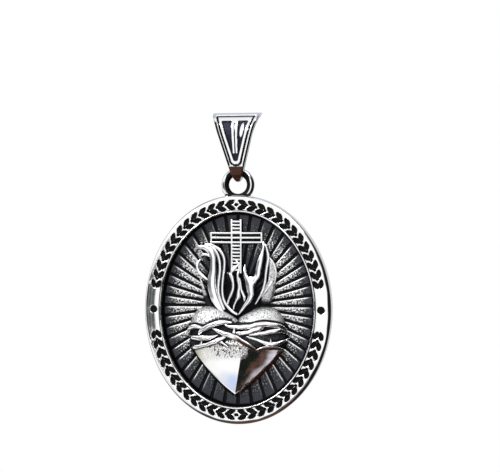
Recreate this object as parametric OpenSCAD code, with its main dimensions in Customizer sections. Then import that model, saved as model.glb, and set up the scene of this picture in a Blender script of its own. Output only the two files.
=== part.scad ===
// Sacred heart pendant: an oval medal in relief that swings on an open bail.
// Millimetres. Z points up as the pendant hangs and the relief faces -Y.
// The origin is the middle of the bail's tunnel, where the chain runs along X.

/* [Medal] */
// Width of the oval medal
medal_w = 34; // [30:0.1:40]
// Height of the oval medal
medal_h = 41.1; // [38:0.1:48]
// Thickness of the medal at its rim
medal_t = 3.2; // [2.6:0.1:4.5]
// Width of the raised rim
rim_w = 3.1; // [2.6:0.1:3.6]
// Rounding of the rim's outer edge
rim_round = 0.8; // [0.4:0.1:1]
// Height of the bead round the inside of the rim
bead_h = 0.12; // [0.05:0.01:0.3]
// Width of the bead round the inside of the rim
bead_w = 0.36; // [0.2:0.02:0.5]
// Thickness of the floor behind the rays
floor_t = 1.3; // [1:0.1:1.8]

/* [Rim ornament] */
// Diameter of the round pit on each side
pit_d = 1.35; // [0.8:0.05:1.6]
// Depth of the pits, leaves and berries
ornament_depth = 0.35; // [0.15:0.05:0.6]
// Number of leaf pairs in each quarter of the rim
leaf_pairs = 13; // [8:1:14]
// Length of one leaf
leaf_l = 1.45; // [0.8:0.05:1.5]
// Width of one leaf
leaf_w = 0.7; // [0.3:0.02:0.72]
// Lean of a leaf from the line of the rim, in degrees
leaf_lean = 20; // [10:1:30]
// Diameter of the berry between the leaves
berry_d = 0.4; // [0.2:0.02:0.44]
// Bare stretch of rim on each side of a pit
bare_l = 4.3; // [3:0.1:6]

/* [Ground] */
// Number of rays behind the heart
rays = 44; // [24:2:60]
// Height of a ray over the floor
ray_rise = 0.28; // [0.1:0.02:0.5]
// Width of the groove between two rays
ray_gap = 0.32; // [0.2:0.02:0.4]
// Height of the point that the rays spread from, over the middle of the medal
ray_y = 0.7; // [-2:0.1:3]

/* [Relief] */
// Height of the highest thorn branch over the floor
relief_h = 3.9; // [3.2:0.1:4.6]
// Height of the flames over the floor
flame_rise = 1.5; // [1:0.1:2.2]
// Height of the cross over the floor
cross_rise = 1.1; // [0.8:0.1:1.5]
// Width of the cross's two beams
beam_w = 1.95; // [1.4:0.05:2.4]
// Length of the cross's level beam
beam_l = 9.5; // [7:0.1:11]
// Thickness of the thorn branches
branch_d = 0.94; // [0.6:0.02:1]

/* [Loop] */
// Outer diameter of the loop on top of the medal
loop_d = 6.05; // [5.7:0.05:7]
// Thickness of the loop's wire
wire_d = 1.4; // [1:0.02:1.44]
// Depth that the middle of the wire is sunk into the top of the medal
loop_sink = 0.45; // [0.3:0.05:0.7]
// Width of the flat shoulder under the loop
shoulder_w = 4.7; // [3:0.1:6]

/* [Bail] */
// Diameter of the tunnel for the chain
tunnel_d = 5.8; // [5.4:0.1:7]
// Distance from the middle of the tunnel to the middle of the loop's wire
bail_drop = 6.95; // [6:0.05:9]
// Thickness of the strap at the top
strap_t = 0.75; // [0.6:0.05:1.1]
// Thickness of the strap at the bottom bend
bend_t = 0.6; // [0.45:0.05:0.8]
// Width of the strap over the tips of its top corners
bail_w = 8.9; // [8:0.1:11]
// Width of the strap at the height of the tunnel's middle
waist_w = 6.4; // [5.6:0.1:7.4]
// Depth of the sunk panel in the front
panel_depth = 0.38; // [0.2:0.02:0.45]
// Width of each of the two raised borders
border_w = 0.58; // [0.4:0.02:0.6]
// Width of the groove between the borders
border_gap = 0.33; // [0.2:0.01:0.34]
// Width of the stem in the panel at its top
stem_w = 1.42; // [1:0.02:1.6]
// Narrowing of the back leg on each side, for each millimetre behind the front
back_narrow = 0.41; // [0:0.01:0.45]

/* [Fit] */
// Gap between the loop's wire and the inside of the bail
wire_gap = 0.5; // [0.46:0.02:0.6]
// Gap between the bail's neck and the side of the loop
neck_gap = 0.16; // [0.1:0.01:0.24]

/* [Hidden] */
steel = "silver";
polished_steel = "gainsboro";

// Fine enough for a true round, and no finer
$fn = 48;

// The loop, whose top wire is the hinge line
wire_r = wire_d / 2;
loop_r = loop_d / 2 - wire_r;
loop_z = -bail_drop - loop_r;

// The medal's middle, with the loop sunk into its top
medal_z = loop_z - loop_r + loop_sink - medal_h / 2;
medal_top = medal_h / 2;
rim_steps = 72;
back_round = 0.45;

// The relief stands on a plug that is sunk into the dish and under the rim's wall
plug_t = 0.5;
plug_sink = 0.3;
wall_hold = 0.2;
foot = plug_t - 0.25;

// The thorn branches lie on one arch over the heart
branch_r = branch_d / 2;
over = 0.12;
arch_half = 10;
arch_rise = relief_h - branch_r - over;
heart_rise = arch_rise - 0.1;

// The bail's two bends
tunnel_r = tunnel_d / 2;
bend_r = wire_r + wire_gap;
bail_top = tunnel_r + strap_t;
bail_foot = -bail_drop - bend_r - bend_t;
sliver = 0.015;

// Half of the loop's opening at a distance d below the hinge line
function loop_reach(d) = sqrt(pow(loop_r - wire_r, 2) - pow(loop_r - d, 2));
neck_z = -bail_drop - bend_r / 2;
neck_half = loop_reach(bend_r) - neck_gap;
foot_half = 0.4 * neck_half;

// Curves and lofts
function at(p, i) = p[min(max(i, 0), len(p) - 1)];
function spline(a, b, c, d, t) =
    0.5 * (2 * b + (c - a) * t + (2 * a - 5 * b + 4 * c - d) * t * t
    + (3 * b - a - 3 * c + d) * t * t * t);
function curve(p, n) = concat(
    [for (i = [0 : len(p) - 2]) for (k = [0 : n - 1])
        spline(at(p, i - 1), at(p, i), at(p, i + 1), at(p, i + 2), k / n)],
    [p[len(p) - 1]]);
function unit(v) = v / norm(v);
function heading(p, i) = unit(at(p, i + 1) - at(p, i - 1));
function ease(t) = let (u = min(max(t, 0), 1)) u * u * (3 - 2 * u);

// Faces of a loft of closed rings with n points each, capped at both ends
function loft_faces(rings, n) = concat(
    [[for (i = [0 : n - 1]) i]],
    [for (r = [0 : rings - 2]) for (i = [0 : n - 1]) each [
        [r * n + i, (r + 1) * n + i, (r + 1) * n + (i + 1) % n],
        [r * n + i, (r + 1) * n + (i + 1) % n, r * n + (i + 1) % n]]],
    [[for (i = [n - 1 : -1 : 0]) (rings - 1) * n + i]]);

// A point on the medal's oval, drawn in from its edge, with even steps along the rim
function oval(inset, a) = [(medal_w / 2 - inset) * cos(a), (medal_h / 2 - inset) * sin(a)];
evening = 90 / PI * (medal_h - medal_w) / (medal_h + medal_w);
function even(a) = a - evening * sin(2 * a);

// The dish: back, rounded edge, rim face, bead, wall and sunk floor, as [inset, height]
rim_profile = [
    [back_round, 0],
    [0, back_round],
    [0, medal_t - rim_round],
    [rim_round * 0.14, medal_t - rim_round * 0.5],
    [rim_round * 0.5, medal_t - rim_round * 0.14],
    [rim_round, medal_t],
    [rim_w - bead_w, medal_t],
    [rim_w - bead_w * 0.75, medal_t + bead_h],
    [rim_w - bead_w * 0.25, medal_t + bead_h],
    [rim_w, medal_t - bead_h],
    [rim_w + 0.1, floor_t - plug_sink]];

module dish() {
    polyhedron(
        points = [for (p = rim_profile) for (i = [0 : rim_steps - 1])
            concat(oval(p[0], i * 360 / rim_steps), [p[1]])],
        faces = loft_faces(len(rim_profile), rim_steps));
}

// A pointed leaf along +X
module leaf() {
    linear_extrude(height = 2 * ornament_depth, center = true)
        polygon([for (a = [0 : 36 : 324])
            [leaf_l / 2 * cos(a), leaf_w / 2 * sin(a) * (1 - 0.3 * pow(cos(a), 2))]]);
}

// Pairs of leaves run along the rim from each pit and meet at the top and bottom
band = (rim_round + rim_w - bead_w) / 2;
start_a = bare_l / (medal_h / 2 - band) * 180 / PI;

module leaf_pair(a) {
    spot = oval(band, even(a));
    ahead = oval(band, even(a + 1)) - spot;
    turn = atan2(ahead[1], ahead[0]);
    translate([spot[0], spot[1], medal_t])
        rotate(turn) {
            for (side = [-1, 1])
                translate([0, side * (leaf_w * 0.6), 0])
                    rotate(side * leaf_lean)
                        leaf();
            translate([leaf_l * 0.62, 0, 0])
                cylinder(d = berry_d, h = 2 * ornament_depth, center = true);
        }
}

module ornament() {
    step = (90 - start_a) / leaf_pairs;
    for (flip_x = [0, 1]) mirror([flip_x, 0, 0])
        for (flip_y = [0, 1]) mirror([0, flip_y, 0]) {
            for (i = [0 : leaf_pairs - 1])
                leaf_pair(start_a + (i + 0.4) * step);
        }
    for (side = [-1, 1])
        translate([side * (medal_w / 2 - band), 0, medal_t])
            cylinder(d = pit_d, h = 2 * ornament_depth, center = true);
}

// The rays spread from one point to the rim's wall
function ray_reach(a) =
    let (rx = medal_w / 2 - rim_w + wall_hold / 2, ry = medal_h / 2 - rim_w + wall_hold / 2,
        qa = pow(cos(a) / rx, 2) + pow(sin(a) / ry, 2),
        qb = ray_y * sin(a) / (ry * ry),
        qc = pow(ray_y / ry, 2) - 1)
    (-qb + sqrt(qb * qb - qa * qc)) / qa;

module ray(a, step) {
    // The edges stand half a groove away from the lines between the rays
    apex = ray_gap / 2 / sin(step / 2);
    shift = asin(ray_gap / 2 / ray_reach(a));
    linear_extrude(height = plug_t + ray_rise - foot)
        polygon([
            (apex + 0.4) * [cos(a), sin(a)],
            ray_reach(a - step / 2 + shift) * [cos(a - step / 2 + shift), sin(a - step / 2 + shift)],
            ray_reach(a + step / 2 - shift) * [cos(a + step / 2 - shift), sin(a + step / 2 - shift)]]);
}

module ground() {
    linear_extrude(height = plug_t)
        polygon([for (i = [0 : rim_steps - 1]) oval(rim_w - wall_hold, i * 360 / rim_steps)]);
    translate([0, ray_y, foot])
        for (i = [0 : rays - 1])
            ray((i + 0.5) * 360 / rays, 360 / rays);
}

// The heart's right side from its tip round the lobe to the cleft, and its left side back down.
// The tip hangs a little to the left.
heart_right = [[-0.45, -15.6], [1.6, -13.9], [4.1, -11.5], [6.5, -9.1], [8.3, -6.8], [8.95, -4.5],
    [8.7, -2.3], [7.9, -0.8], [6.5, 0.3], [4.7, 0.6], [2.5, 0.05], [1, -0.7], [0.1, -1.35]];
heart_left = [[0.1, -1.35], [-0.9, -0.75], [-2.5, 0.1], [-4.9, 0.7], [-6.6, 0.4], [-8, -0.7],
    [-8.8, -2.3], [-9, -4.6], [-8.5, -7.3], [-7.2, -9.4], [-5, -12], [-2.6, -14.2], [-0.45, -15.6]];
heart_top = [1.35, -6.4];
heart_rings = [0.065, 0.13, 0.24, 0.4, 0.6, 0.8, 0.985];
bevel_in = 0.13;
bevel_rise = 0.5;

function all_but_last(p) = [for (i = [0 : len(p) - 2]) p[i]];
function dome(s) = sqrt(1 - pow(1 - s, 2));
function facet(s) = s < bevel_in ? bevel_rise * s / bevel_in
    : bevel_rise + (1 - bevel_rise) * (s - bevel_in) / (1 - bevel_in);
// Round lobes above, and two flat facets that meet in a crease below
function heart_height(s, y) = let (k = ease((-4.5 - y) / 3.5))
    heart_rise * (dome(s) * (1 - k) + facet(s) * k);

module heart() {
    edge = concat(all_but_last(curve(heart_right, 2)), all_but_last(curve(heart_left, 2)));
    n = len(edge);
    polyhedron(
        points = concat(
            [for (p = edge) [p[0], p[1], foot]],
            [for (p = edge) [p[0], p[1], plug_t]],
            [for (s = heart_rings) for (p = edge)
                let (q = heart_top + (1 - s) * (p - heart_top))
                [q[0], q[1], plug_t + (s > 0.9 ? heart_rise : heart_height(s, p[1]))]]),
        faces = loft_faces(len(heart_rings) + 2, n));
}

// A tongue of flame along stations of [x, y, half width, share of the flames' height]
tongue_section = [[1, 0], [0.78, 0.8], [0, 1], [-0.78, 0.8], [-1, 0]];

module tongue(stations) {
    s = curve(stations, len(stations) > 7 ? 1 : 2);
    line = [for (p = s) [p[0], p[1]]];
    polyhedron(
        points = [for (i = [0 : len(s) - 1]) for (q = tongue_section)
            let (h = heading(line, i), w = max(s[i][2], 0.04), rise = max(s[i][3], 0.1) * flame_rise)
            [line[i][0] - h[1] * w * q[0], line[i][1] + h[0] * w * q[0],
                q[1] == 0 ? foot : plug_t + rise * q[1]]],
        faces = loft_faces(len(s), len(tongue_section)));
}

left_flame = [[-2.7, -0.5, 0.4, 0.9], [-3.95, 1.65, 0.75, 1], [-4.4, 2.9, 0.78, 1], [-4.65, 4.2, 0.82, 1],
    [-4.65, 5.5, 0.8, 1], [-4.45, 6.9, 0.65, 1], [-4.4, 8.3, 0.56, 1], [-4.5, 9.6, 0.6, 1],
    [-5.05, 10.6, 0.55, 0.95], [-5.95, 11.15, 0.42, 0.85], [-6.8, 11.2, 0.24, 0.7], [-7.6, 10.95, 0.04, 0.4]];
left_middle = [[-2.3, 0, 0.2, 0.9], [-3, 1.6, 0.24, 0.95], [-3.4, 2.9, 0.27, 0.95], [-3.45, 4.2, 0.28, 0.95],
    [-3.3, 5.6, 0.28, 0.95], [-3.15, 7, 0.27, 0.95], [-3.2, 8.5, 0.28, 0.95], [-3.55, 9.8, 0.27, 0.9],
    [-4.2, 10.8, 0.24, 0.85], [-5.15, 11.4, 0.2, 0.8], [-6.2, 11.6, 0.06, 0.6]];
left_edge = [[0, -0.9, 0.2, 0.9], [-1, -0.25, 0.24, 0.9], [-1.95, 0.75, 0.24, 0.85], [-2.55, 2, 0.24, 0.85],
    [-2.75, 3.4, 0.24, 0.85], [-2.7, 4.7, 0.24, 0.85], [-2.55, 6.2, 0.24, 0.85], [-2.35, 7.8, 0.25, 0.85],
    [-2.4, 9.1, 0.26, 0.85], [-2.85, 10.2, 0.28, 0.8], [-3.55, 11, 0.27, 0.8], [-4.7, 11.6, 0.22, 0.75],
    [-6, 11.85, 0.05, 0.5]];
left_spur = [[-4.8, 9.5, 0.25, 0.8], [-5.5, 9.8, 0.22, 0.75], [-6.2, 9.9, 0.2, 0.65],
    [-6.95, 9.4, 0.05, 0.4]];
left_curl = [[-6.7, 8.9, 0.05, 0.5], [-7.1, 8.3, 0.2, 0.6], [-7.2, 7.4, 0.23, 0.65], [-6.8, 6.6, 0.23, 0.65],
    [-6.1, 6, 0.22, 0.65], [-5.4, 5.3, 0.15, 0.6]];
left_low = [[-7.1, 6, 0.05, 0.3], [-6.6, 4.7, 0.2, 0.45], [-6.2, 3.3, 0.3, 0.5], [-5.7, 1.8, 0.45, 0.5],
    [-5, 0.4, 0.5, 0.45]];
small_flame = [[-1.75, 0.9, 0.12, 0.6], [-1.6, 1.7, 0.2, 0.7], [-1.15, 2.7, 0.27, 0.75],
    [-0.8, 3.7, 0.27, 0.8], [-0.8, 4.9, 0.26, 0.8], [-1.05, 5.9, 0.34, 0.8], [-1.4, 6.4, 0.32, 0.75],
    [-2, 6.5, 0.04, 0.45]];
small_tip = [[-1.3, 6.3, 0.2, 0.75], [-0.95, 6.9, 0.34, 0.8], [-0.4, 7.45, 0.3, 0.8], [0.05, 7.9, 0.15, 0.8],
    [0.3, 8.1, 0.05, 0.75]];
second_flame = [[-0.7, 0, 0.08, 0.6], [-0.6, 0.7, 0.16, 0.65], [-0.25, 1.5, 0.2, 0.7], [0.15, 2.3, 0.4, 0.75],
    [0.25, 3.1, 0.31, 0.8], [0.35, 3.9, 0.25, 0.85], [0.3, 4.7, 0.25, 0.85], [0.15, 5.5, 0.24, 0.85],
    [0.1, 6.3, 0.2, 0.85], [0.3, 7, 0.2, 0.8], [0.35, 7.8, 0.2, 0.75], [0.05, 8.4, 0.2, 0.7],
    [-0.2, 8.9, 0.12, 0.6], [-0.2, 9.4, 0.04, 0.5]];
third_flame = [[0.4, 5.7, 0.1, 0.75], [0.6, 4.7, 0.15, 0.75], [0.7, 3.7, 0.18, 0.75], [1, 2.9, 0.22, 0.7],
    [1.25, 2.2, 0.22, 0.65], [1.25, 1.5, 0.08, 0.55]];
fork_trunk = [[0.25, -0.9, 0.1, 0.85], [0.85, -0.1, 0.24, 0.9], [1.5, 0.8, 0.33, 0.95], [2.2, 1.7, 0.45, 1],
    [2.5, 2.7, 0.55, 1], [2.4, 3.6, 0.7, 1], [2.3, 4.5, 0.8, 1], [1.9, 5.4, 0.52, 0.95],
    [1.5, 6.2, 0.36, 0.9], [1.35, 7.1, 0.24, 0.85], [1.4, 8.1, 0.05, 0.6]];
fork_web = [[2.3, 4, 0.6, 1], [2.6, 4.9, 0.75, 0.97], [2.65, 5.5, 0.75, 0.93], [2.65, 5.9, 0.5, 0.85]];
fork_tall = [[2.6, 4.3, 0.4, 0.9], [3.15, 5.2, 0.48, 0.95], [3.7, 6.1, 0.54, 0.95], [3.85, 7.1, 0.55, 0.95],
    [4.05, 8.1, 0.56, 0.95], [4.25, 9, 0.5, 0.95], [4.5, 9.9, 0.34, 0.9], [4.7, 10.8, 0.22, 0.85],
    [4.8, 11.5, 0.15, 0.8], [4.65, 12.3, 0.05, 0.6]];
right_edge = [[3.3, 1, 0.12, 0.7], [3.8, 1.8, 0.18, 0.75], [4.35, 2.8, 0.2, 0.8], [4.7, 3.7, 0.2, 0.8],
    [4.95, 4.7, 0.22, 0.8], [5.1, 5.6, 0.23, 0.8], [5.2, 6.5, 0.24, 0.8], [5.35, 7.6, 0.26, 0.8],
    [5.55, 8.7, 0.3, 0.8], [5.6, 9.7, 0.3, 0.8], [5.4, 10.7, 0.22, 0.75], [5.15, 11.5, 0.14, 0.7],
    [4.9, 12, 0.05, 0.5]];
right_strand = [[4.4, 2.3, 0.06, 0.6], [4.9, 3, 0.14, 0.7], [5.45, 3.7, 0.16, 0.72], [6, 4.5, 0.16, 0.72],
    [6.4, 5.3, 0.05, 0.6]];
right_outline = [[5.8, 9.3, 0.15, 0.75], [6.35, 8.7, 0.18, 0.7], [6.8, 7.8, 0.18, 0.7], [7, 6.8, 0.18, 0.68],
    [6.95, 5.8, 0.16, 0.66], [6.7, 4.7, 0.06, 0.6]];
right_lobe = [[5, 1.1, 0.8, 0.5], [5.3, 2.4, 1.05, 0.55], [5.8, 3.7, 0.95, 0.6], [6.2, 5.1, 0.75, 0.62],
    [6.3, 6.5, 0.68, 0.62], [6.25, 7.7, 0.52, 0.62], [6, 8.7, 0.28, 0.6], [5.8, 9.3, 0.06, 0.5]];

module flames() {
    for (flame = [left_flame, left_middle, left_edge, left_spur, left_curl, left_low, small_flame,
            small_tip, second_flame, third_flame, fork_trunk, fork_web, fork_tall, right_edge, right_strand,
            right_outline, right_lobe])
        tongue(flame);
}

// The cross: two beams with raised edges, rungs down the post and ridges along the level beam
cross_x = -0.2;
cross_top = 16.2;
cross_y = 12.9;
cross_foot = 6.5;
edge_w = 0.3;
edge_h = 0.2;
rung_step = 0.62;

// A bar from corner to corner that stands up from inside the plug
module bar(x0, y0, x1, y1, rise) {
    translate([x0, y0, foot])
        cube([x1 - x0, y1 - y0, plug_t - foot + rise]);
}

module cross() {
    half = beam_w / 2;
    inner = half - edge_w;
    translate([cross_x, 0, 0]) {
        bar(-half, cross_foot, half, cross_top, cross_rise - edge_h);
        bar(-beam_l / 2, cross_y - half, beam_l / 2, cross_y + half, cross_rise - edge_h * 0.9);
        for (side = [-1, 1]) {
            bar(side * (half - edge_w / 2) - edge_w / 2, cross_foot,
                side * (half - edge_w / 2) + edge_w / 2, cross_top, cross_rise);
            bar(-beam_l / 2, cross_y + side * (half - edge_w / 2) - edge_w / 2,
                beam_l / 2, cross_y + side * (half - edge_w / 2) + edge_w / 2, cross_rise);
            bar(side * (beam_l / 2 - edge_w / 2) - edge_w / 2, cross_y - half + 0.01,
                side * (beam_l / 2 - edge_w / 2) + edge_w / 2, cross_y + half - 0.01, cross_rise);
        }
        bar(-beam_l / 2 + 0.1, cross_y - edge_w / 2, beam_l / 2 - 0.1, cross_y + edge_w / 2,
            cross_rise - edge_h * 0.3);
        for (y = [cross_foot + rung_step : rung_step : cross_top])
            if (abs(y - cross_y) > half)
                bar(-inner - 0.1, y - edge_w * 0.45, inner + 0.1, y + edge_w * 0.45,
                    cross_rise - edge_h * 0.4);
    }
}

// A thorn branch along stations of [x, y, share of the branch's radius, lift over the arch]
function arch(x) = arch_rise * sqrt(max(1 - pow(x / arch_half, 2), 0.02));

module branch(stations, fine = 1, sides = 6) {
    s = curve(stations, fine);
    line = [for (p = s) [p[0], p[1], plug_t + arch(p[0]) + p[3]]];
    polyhedron(
        points = [for (i = [0 : len(s) - 1])
            let (h = heading(line, i), left = unit(cross([0, 0, 1], h)), up = cross(h, left),
                r = max(s[i][2], 0.08) * branch_r)
            for (k = [0 : sides - 1]) let (a = 20 + k * 360 / sides)
            line[i] + r * (cos(a) * left + sin(a) * up)],
        faces = loft_faces(len(s), sides));
}

crown_branches = [
    [[-8.9, -4.8, 0.3, -0.2], [-8.8, -4, 0.6, -0.1], [-8.4, -3.3, 0.85, 0], [-7.4, -3.05, 0.85, 0],
        [-6.2, -3.2, 0.4, -0.1]],
    [[-6.75, -4.4, 0.4, -0.1], [-6.3, -3.75, 0.85, 0], [-5.25, -3.15, 1, 0.05], [-4.1, -2.65, 1, 0.1],
        [-2.8, -2.25, 0.95, 0.08], [-1.7, -2.15, 0.7, 0], [-0.6, -2.2, 0.2, -0.15]],
    [[-2, -2.5, 0.15, -0.1], [-1.1, -2.9, 0.5, 0], [0.2, -3, 0.75, 0], [1.6, -2.95, 0.85, 0.02],
        [2.9, -2.85, 0.87, 0.05], [4.2, -2.5, 0.9, 0.08], [5.4, -2.45, 0.95, 0.08], [6.8, -2.6, 0.9, 0],
        [8.1, -2.9, 0.8, -0.05], [8.9, -3.6, 0.6, -0.2]],
    [[0.25, -4, 0.4, -0.05], [1.1, -4.1, 0.75, 0], [2.2, -4, 0.85, 0], [3.3, -3.6, 0.85, 0],
        [4.3, -3.25, 0.85, 0.02], [5.2, -2.85, 0.4, -0.05]],
    [[-4.2, -3.3, 0.2, -0.1], [-3.15, -3.7, 0.7, 0], [-2.05, -4.15, 0.95, 0.08], [-0.85, -4.5, 1.1, 0.12],
        [0.35, -4.95, 1.05, 0.12], [1.5, -5.65, 0.95, 0.08], [2.6, -6.25, 0.88, 0.02],
        [3.6, -6.95, 0.6, -0.15]],
    [[-8.65, -4.95, 0.4, -0.15], [-7.75, -5.05, 0.9, 0], [-6.4, -5.05, 1.05, 0.05], [-5.05, -5, 0.95, 0.05],
        [-4.1, -4.8, 0.6, 0], [-3.15, -4.5, 0.15, -0.1]],
    [[-8.4, -7.1, 0.25, -0.25], [-7.3, -6.75, 0.9, -0.05], [-6, -6.5, 0.85, 0], [-4.7, -6.1, 0.9, 0.03],
        [-3.6, -5.7, 1, 0.06], [-2.6, -5.2, 0.9, 0.05], [-1.5, -4.7, 0.35, -0.1]],
    [[2.1, -4.7, 0.2, -0.1], [3.2, -5, 0.45, 0], [4.3, -5.4, 0.55, 0.02], [5.4, -5.8, 0.7, 0.05],
        [6.5, -6.05, 0.9, 0.08], [7.6, -5.9, 0.85, 0.02], [8.6, -5.5, 0.6, -0.1], [9.6, -5, 0.1, -0.3]],
    [[2.5, -4.4, 0.3, -0.15], [4, -4.2, 0.6, -0.1], [5.4, -4, 0.8, -0.02], [6.6, -3.75, 0.9, 0.02],
        [7.8, -3.65, 0.85, 0], [8.8, -3.9, 0.6, -0.15], [9.4, -4.5, 0.3, -0.4]],
    [[3.6, -7.2, 0.3, -0.2], [4.8, -6.8, 0.7, -0.05], [6.1, -6.6, 0.8, 0], [7.3, -6.7, 0.7, -0.05],
        [8.5, -7, 0.3, -0.3]]];

crown_thorns = [
    [[-0.1, -4, 0.8, 0.1], [0, -3, 0.1, 0.3]],
    [[-6.3, -6.4, 0.8, 0], [-6.1, -5.5, 0.1, 0.25]],
    [[-2.8, -5.5, 0.7, 0], [-1.2, -6.6, 0.1, 0.1]],
    [[6.4, -6, 0.8, 0], [6.3, -5, 0.1, 0.3]]];

module crown() {
    for (b = crown_branches)
        branch(b);
    for (t = crown_thorns)
        branch(t, 1, 5);
}

// Everything raised on the ground, as deep from the plug's foot to the highest branch as stated
module relief() {
    resize([0, 0, plug_t + relief_h])
        union() {
            ground();
            heart();
            flames();
            cross();
            crown();
        }
}

module loop() {
    translate([0, 0, loop_z])
        rotate([90, 0, 0])
            rotate_extrude()
                translate([loop_r, 0])
                    circle(d = wire_d);
}

// A low saddle that the loop stands on
module shoulder() {
    translate([0, 0, medal_z + medal_top])
        rotate([90, 0, 0])
            linear_extrude(height = wire_d * 1.25, center = true)
                polygon([[-shoulder_w / 2, -0.7], [shoulder_w / 2, -0.7],
                    [shoulder_w / 2 - 0.15, 0.18], [-shoulder_w / 2 + 0.15, 0.18]]);
}

module medal() {
    color(steel) {
        translate([0, medal_t / 2, medal_z])
            rotate([90, 0, 0]) {
                difference() {
                    dish();
                    ornament();
                }
                translate([0, 0, floor_t - plug_t])
                    relief();
            }
        loop();
        shoulder();
    }
}

// Side view of the strap carried along X: two rounds joined by straight flanks
module drop_bar(top_r, low_r, length) {
    lean = asin((top_r - low_r) / bail_drop);
    side = [cos(lean), -sin(lean)];
    upper = (top_r - sliver) * side;
    lower = (low_r - sliver) * side + [0, -bail_drop];
    rotate([90, 0, 90]) {
        cylinder(r = top_r, h = length, center = true);
        translate([0, -bail_drop, 0])
            cylinder(r = low_r, h = length, center = true);
        linear_extrude(height = length, center = true)
            polygon([upper, lower, [-lower[0], lower[1]], [-upper[0], upper[1]]]);
    }
}

// Front view of the strap, drawn as [X, Z]: half its width at a height
flare_z = 1;
taper = (waist_w / 2 - neck_half) / -neck_z;
flare = (bail_w - waist_w) / 2 - taper * bail_top;
function bail_half(z) = waist_w / 2 + taper * z
    + (z > flare_z ? flare * pow((z - flare_z) / (bail_top - flare_z), 2) : 0);
function both(side) = concat(side, [for (i = [len(side) - 1 : -1 : 0]) [-side[i][0], side[i][1]]]);

module bail_front() {
    low = [[foot_half, bail_foot], [neck_half * 0.78, (neck_z + bail_foot) / 2 + 0.1], [neck_half, neck_z]];
    high = [for (z = [flare_z : (bail_top + 0.1 - flare_z) / 8 : bail_top + 0.11]) [bail_half(z), z]];
    polygon(both(concat(low, high)));
}

// A bar along Y with the outline of a shield inside the front's outline, with a rounded foot
module shield(inset, top_z, low_z) {
    r = bail_half(low_z) - inset;
    straight = [[r - sliver, low_z], [bail_half(top_z) - inset, top_z]];
    front_bar()
        polygon(both(straight));
    translate([0, 0, low_z])
        rotate([90, 0, 0])
            cylinder(r = r, h = 2 * bail_top, center = true);
}

module front_bar() {
    rotate([90, 0, 0])
        linear_extrude(height = 2 * bail_top, center = true)
            children();
}

panel_top = bail_top - 1.75;
panel_low = -4.7;
panel_inset = 2 * border_w + border_gap;
groove_top = bail_top - 0.5;
groove_rise = 0.4;
stem_foot = panel_low + 0.8;

// What is sunk in the front: the panel beside its stem, and the groove between the borders
module sunk_front() {
    difference() {
        shield(panel_inset, panel_top, panel_low);
        front_bar()
            polygon(both([[stem_w * 0.36, stem_foot], [stem_w / 2, panel_top + 0.1]]));
    }
    difference() {
        shield(border_w, groove_top, panel_low - 0.2);
        shield(border_w + border_gap, groove_top - groove_rise, panel_low - 0.2);
    }
    // A fine line down the stem
    front_bar()
        polygon(both([[0.06, stem_foot - 0.1], [0.09, panel_top - 0.2]]));
}

// Wedges that leave the strap narrower towards its back, along the slope of its sides
back_start = 0.3;
side_clear = 0.02;

module back_wedges() {
    for (flip = [0, 1]) mirror([flip, 0, 0])
        translate([waist_w / 2 + side_clear, back_start, 0])
            rotate([0, atan(taper), 0])
                linear_extrude(height = 4 * bail_drop, center = true)
                    polygon([[0, 0], [-back_narrow * bail_w, bail_w], [bail_w, bail_w], [bail_w, 0]]);
}

module bail() {
    low_r = bend_r + bend_t;
    color(polished_steel)
        difference() {
            intersection() {
                drop_bar(bail_top, low_r, bail_w + 1);
                front_bar()
                    bail_front();
            }
            back_wedges();
            drop_bar(tunnel_r, bend_r, bail_w + 2);
            intersection() {
                difference() {
                    drop_bar(bail_top + 1, low_r + 1, bail_w);
                    drop_bar(bail_top - panel_depth, low_r - panel_depth, bail_w + 1);
                    translate([-bail_w, 0, bail_foot - 2])
                        cube([2 * bail_w, 2 * bail_top, 2 * bail_top + bail_drop + 4]);
                }
                sunk_front();
            }
        }
}

medal();
bail();
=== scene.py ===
import bpy
import bmesh
import math
import numpy as np
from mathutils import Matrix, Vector
from mathutils.bvhtree import BVHTree


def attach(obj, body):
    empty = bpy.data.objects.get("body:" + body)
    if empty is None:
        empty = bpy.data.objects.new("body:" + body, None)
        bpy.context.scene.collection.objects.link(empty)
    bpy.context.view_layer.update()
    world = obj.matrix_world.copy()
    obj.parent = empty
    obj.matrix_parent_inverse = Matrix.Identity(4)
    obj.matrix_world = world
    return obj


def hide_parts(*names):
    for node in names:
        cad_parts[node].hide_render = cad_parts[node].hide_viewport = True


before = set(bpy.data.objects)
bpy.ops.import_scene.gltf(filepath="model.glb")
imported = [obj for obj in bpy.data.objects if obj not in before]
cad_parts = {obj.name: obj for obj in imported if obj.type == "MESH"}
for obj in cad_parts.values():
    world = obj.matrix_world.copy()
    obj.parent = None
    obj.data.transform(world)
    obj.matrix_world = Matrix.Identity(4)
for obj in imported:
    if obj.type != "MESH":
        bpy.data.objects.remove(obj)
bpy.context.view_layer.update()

# Camera: a 100 mm lens a quarter of a metre away, level with the medal's upper half. It stands
# ten degrees to the right of straight ahead, as the picture shows the pendant.
camera_turn = math.radians(10)
camera_far, camera_shift, camera_z = 0.25, 0.00216, -0.0185
camera_side = Vector((math.cos(camera_turn), math.sin(camera_turn), 0))
camera_back = Vector((math.sin(camera_turn), -math.cos(camera_turn), 0))


def in_scene(name, data):
    thing = bpy.data.objects.new(name, data)
    bpy.context.scene.collection.objects.link(thing)
    return thing


camera_data = bpy.data.cameras.new("camera")
camera_data.lens = 100
camera_data.sensor_width = 36
camera_data.clip_start = 0.01
camera = in_scene("camera", camera_data)
camera.location = Vector((0, 0, camera_z)) + camera_shift * camera_side + camera_far * camera_back
camera.rotation_euler = (math.pi / 2, 0, camera_turn)
bpy.context.scene.camera = camera
bpy.context.scene.view_settings.view_transform = "Standard"
bpy.context.scene.view_settings.look = "None"

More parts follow.
